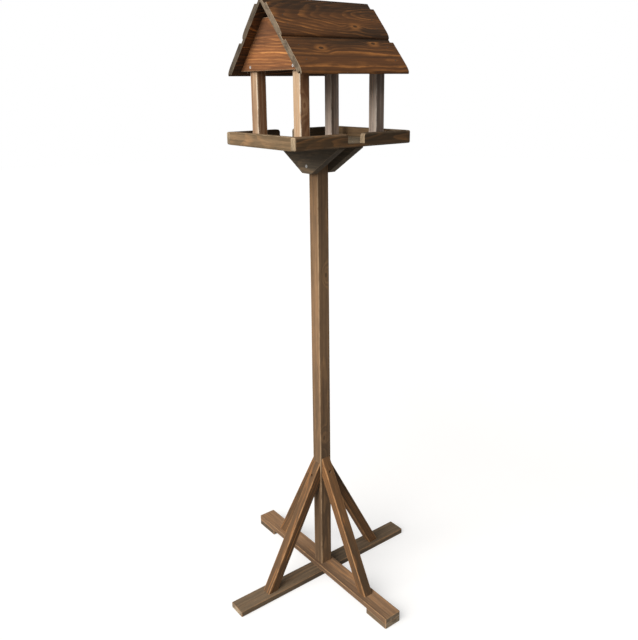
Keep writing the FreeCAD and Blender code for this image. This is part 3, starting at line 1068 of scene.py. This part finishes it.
# %% Tones of the stain
# Each row: the stain, its slot, then its char, body and glow, its end grain and its rubbed edges.
stains = {}
for name, slot, *five in (
        ("roof", "roof_pine", (0.030, 0.016, 0.007), (0.125, 0.048, 0.014), (0.490, 0.195, 0.048),
         (0.205, 0.158, 0.108), (0.46, 0.36, 0.24)),
        ("gable", "gable_pine", (0.090, 0.038, 0.018), (0.295, 0.112, 0.037), (0.78, 0.340, 0.105),
         (0.30, 0.20, 0.11), (0.46, 0.33, 0.20)),
        ("rail", "rail_pine", (0.100, 0.068, 0.034), (0.30, 0.192, 0.102), (0.42, 0.235, 0.11),
         (0.42, 0.315, 0.20), (0.46, 0.34, 0.22)),
        # The long rails' tones are darker than the short rails': painted shade, since their long faces turn
        # from the key light.
        ("long_rail", "rail_pine", (0.038, 0.024, 0.012), (0.110, 0.062, 0.027), (0.24, 0.115, 0.040),
         (0.42, 0.315, 0.20), (0.30, 0.21, 0.13)),
        ("floor", "floor_pine", (0.15, 0.115, 0.072), (0.42, 0.325, 0.205), (0.42, 0.29, 0.16),
         (0.3, 0.22, 0.14), (0.3, 0.22, 0.14)),
        ("upright", "upright_pine", (0.20, 0.088, 0.036), (0.56, 0.410, 0.275), (0.60, 0.36, 0.185),
         (0.40, 0.30, 0.20), (0.76, 0.62, 0.47)),
        # The grey uprights' tones are partly their own greyer wood and partly painted light, made lighter
        # against the roof's shade on them.
        ("grey_upright_painted_light", "upright_pine", (0.180, 0.135, 0.110), (0.67, 0.560, 0.480), (0.64, 0.44, 0.32),
         (0.40, 0.30, 0.20), (0.66, 0.58, 0.50)),
        ("gusset", "gusset_pine", (0.105, 0.084, 0.060), (0.235, 0.180, 0.120), (0.32, 0.215, 0.125),
         (0.12, 0.085, 0.055), (0.32, 0.24, 0.16)),
        ("post", "post_pine", (0.130, 0.080, 0.044), (0.275, 0.165, 0.087), (0.40, 0.225, 0.105),
         (0.3, 0.22, 0.15), (0.42, 0.28, 0.16)),
        ("brace", "brace_pine", (0.085, 0.050, 0.025), (0.165, 0.083, 0.034), (0.40, 0.170, 0.052),
         (0.20, 0.13, 0.08), (0.46, 0.24, 0.10)),
        ("plank", "plank_pine", (0.090, 0.066, 0.043), (0.195, 0.137, 0.084), (0.27, 0.165, 0.085),
         (0.40, 0.31, 0.21), (0.38, 0.20, 0.095)),
        ("top_plank", "plank_pine", (0.130, 0.078, 0.045), (0.305, 0.180, 0.098), (0.43, 0.225, 0.100),
         (0.42, 0.32, 0.22), (0.46, 0.26, 0.12))):
    stains[name] = [slot] + [(*tone, 1.0) for tone in five]
stains["rear_roof"] = stains["roof"][:4] + [(0.105, 0.083, 0.058, 1.0), (0.30, 0.23, 0.15, 1.0)]
print("stains", sorted(stains))

# %% Foot, post and braces
finish_timber("base_plank_lower", "plank", X, Z, (0.014, -0.028), 0.012, 0.0042,
              seed=1.3, scorch=0.35, swing=0.3)
finish_timber("base_plank_upper", "top_plank", Y, Z, (-0.012, -0.030), -0.014, 0.0042,
              [(0.21, 0.012)], seed=2.9, scorch=0.5, swing=0.3)
finish_timber("foot_block_front", "plank", Y, Z, seed=4.1, scorch=0.7, swing=0.3)
finish_timber("foot_block_rear", "plank", Y, Z, seed=5.7, scorch=0.7, swing=0.3)
finish_timber("post", "post", Z, -Y, (0.008, -0.036), 0.006, 0.0044,
              [(-0.23, 0.006), (0.31, -0.008)], seed=6.2, scorch=0.45, rub=0.7, swing=0.35)
for number, (side, turn) in enumerate((("right", 0), ("rear", 90), ("left", 180), ("front", 270))):
    around = Matrix.Rotation(math.radians(turn), 3, "Z")
    outer_face = around @ Vector((lean.z, 0, -lean.x))
    finish_timber("brace_" + side, "brace", around @ lean, outer_face,
                  (0.008, -0.030 - 0.004 * number), 0.01, 0.0044, seed=7.5 + 1.7 * number,
                  scorch=0.6, rub=0.7, swing=0.4)

# %% Tray
finish_timber("tray_floor", "floor", X, Z, (0.02, -0.07), 0.04, seed=15.3, scorch=0.6)
finish_timber("rim_left", "rail", Y, -X, (0.004, -0.05), 0.05, 0.0045,
              seed=16.1, scorch=0.55)
finish_timber("rim_right", "rail", Y, X, (-0.006, -0.05), 0.04, 0.0045,
              seed=17.9, scorch=0.5)
finish_timber("rim_front", "long_rail", X, -Y, (-0.004, -0.045), -0.06, 0.0048,
              seed=18.6, scorch=0.6)
# The rear rail's inner face is darkened further as painted shade under the roof.
finish_timber("rim_rear", "long_rail", X, -Y, (0.01, -0.05), 0.05, 0.0048,
              seed=19.4, scorch=0.55, painted_face_shade=0.8)
finish_timber("gusset_left", "gusset", Y, -X, (0.02, -0.06), 0.05, seed=21.2)
finish_timber("gusset_right", "gusset", Y, X, (-0.02, -0.06), 0.05, seed=22.8)

# %% House
# The uprights' faces towards the front are darkened as painted shade, since they turn from the key light.
for number, (corner, tones, knots) in enumerate((
        # The grey tones are lightened as painted light against the roof's shade.
        ("front_left", "upright", [(-0.03, 0.002)]), ("front_right", "grey_upright_painted_light", []),
        ("rear_left", "upright", []), ("rear_right", "grey_upright_painted_light", []))):
    finish_timber("upright_" + corner, tones, Z, -Y, (0.004 * number - 0.006, -0.03), 0.05,
                  0.0055, knots, seed=24.1 + 1.9 * number, scorch=0.3, painted_face_shade=0.65, rub=0.9)
finish_timber("gable_left", "gable", Y, -X, (-0.05, -0.035), 0.06, 0.0085, seed=30.6)
finish_timber("gable_right", "gable", Y, X, (0.02, -0.045), 0.05, 0.0085, seed=35.9)
rear_slope = to_rear(out_of_slope)
for node, tones, face, pith, slant, year, knots, seed in (
        ("roof_front_upper", "roof", out_of_slope, (0.016, -0.034), -0.19, 0.0078, [(0.075, -0.032)], 37.7),
        ("roof_front_lower", "roof", out_of_slope, (-0.028, -0.036), 0.024, 0.0085,
         [(-0.085, 0.010), (0.105, 0.030)], 39.2),
        ("roof_rear_upper", "rear_roof", rear_slope, (0.0, -0.040), -0.13, 0.0060, [(-0.06, 0.02)], 41.8),
        ("roof_rear_lower", "rear_roof", rear_slope, (0.012, -0.038), 0.06, 0.0060, [(0.09, -0.01)], 43.1)):
    finish_timber(node, tones, X, face, pith, slant, year, knots, seed)
print("timber finishes", len(timber))


# %% [markdown]
# ## Metal
#
# The screws and bolts that show are zinc plated, with a faint bluish bloom that varies from crystal to
# crystal; their near-white colour, with a low metallic share so that it shows in diffuse light, is a
# painted highlight of the window. The nails, the pins and the screws deep in the braces are plain steel gone
# dark.
# Both are one group with different values: cells of a Voronoi pattern give each crystal its own shade,
# and a noise lays a film of dirt, which is rougher and less metallic than the metal under it.

# %% Plating group
plating, given, results = new_group("plated_metal", {
    "Place": (0, 0, 0), "Metal": (0.7, 0.7, 0.7, 1), "Film": (0.1, 0.09, 0.08, 1), "Grime": 0.4,
    "Polish": 0.3}, ("Color", "Roughness", "Metallic", "Height"))
crystals_per_metre = 900.0
film_patch = (0.40, 0.65)
bloom_light = (0.0, 1.0, 0.86, 1.05)
dirt_rough, clean_metal, dirt_metal = 0.4, 0.4, 0.3
crystals = {"Vector": given["Place"], "Scale": crystals_per_metre}
cells = add_node(plating, "TexVoronoi", crystals).outputs["Color"]
shade = add_node(plating, "SeparateColor", {0: cells}).outputs[0]
film = noise(plating, given, (420, 420, 420), 4.0, 0.6)
dirt = times(plating, ramp(plating, film, *film_patch), given["Grime"], clamp=True)
spangled = vector_maths(plating, "SCALE", given["Metal"], ramp(plating, shade, *bloom_light))
dirty = mix_colours(plating, dirt, spangled, given["Film"])
rough = plus(plating, given["Polish"], times(plating, dirt, dirt_rough))
metal = maths(plating, "SUBTRACT", clean_metal, times(plating, dirt, dirt_metal))
hand_out(plating, results, Color=dirty, Roughness=rough, Metallic=metal, Height=film)


# %% Metal finishes
film_relief = 0.05 * MM


def metal_finish(name, metal_tone, film_tone, grime, polish):
    paint, tree, shader = new_paint(name)
    spot = add_node(tree, "TexCoord").outputs["Object"]
    plated = add_node(tree, "Group", {
        "Place": spot, "Metal": metal_tone, "Film": film_tone, "Grime": grime, "Polish": polish},
        node_tree=plating).outputs
    bump = add_node(tree, "Bump", {"Height": plated["Height"], "Strength": 0.5, "Distance": film_relief})
    for label, socket in (("Color", "Base Color"), ("Roughness", "Roughness"), ("Metallic", "Metallic")):
        tree.links.new(plated[label], shader.inputs[socket])
    tree.links.new(bump.outputs[0], shader.inputs["Normal"])
    return paint


# The zinc's near-white tone is partly its own colour and partly a painted highlight of the window.
metals = {
    "bright_zinc": metal_finish("bright_zinc", (0.92, 0.91, 0.89, 1), (0.22, 0.20, 0.17, 1), 0.5, 0.28),
    "dark_steel": metal_finish("dark_steel", (0.11, 0.085, 0.065, 1), (0.04, 0.026, 0.018, 1), 0.9, 0.45)}
dark_sets = ("brace_top_screws", "foot_block_nails", "roof_nails", "rim_nails", "floor_pins")
for node, piece in fasteners.items():
    slot = "dark_steel" if node in dark_sets else "bright_zinc"
    piece.data.materials.clear()
    piece.data.materials.append(metals[slot])
print("metal sets", len(fasteners))
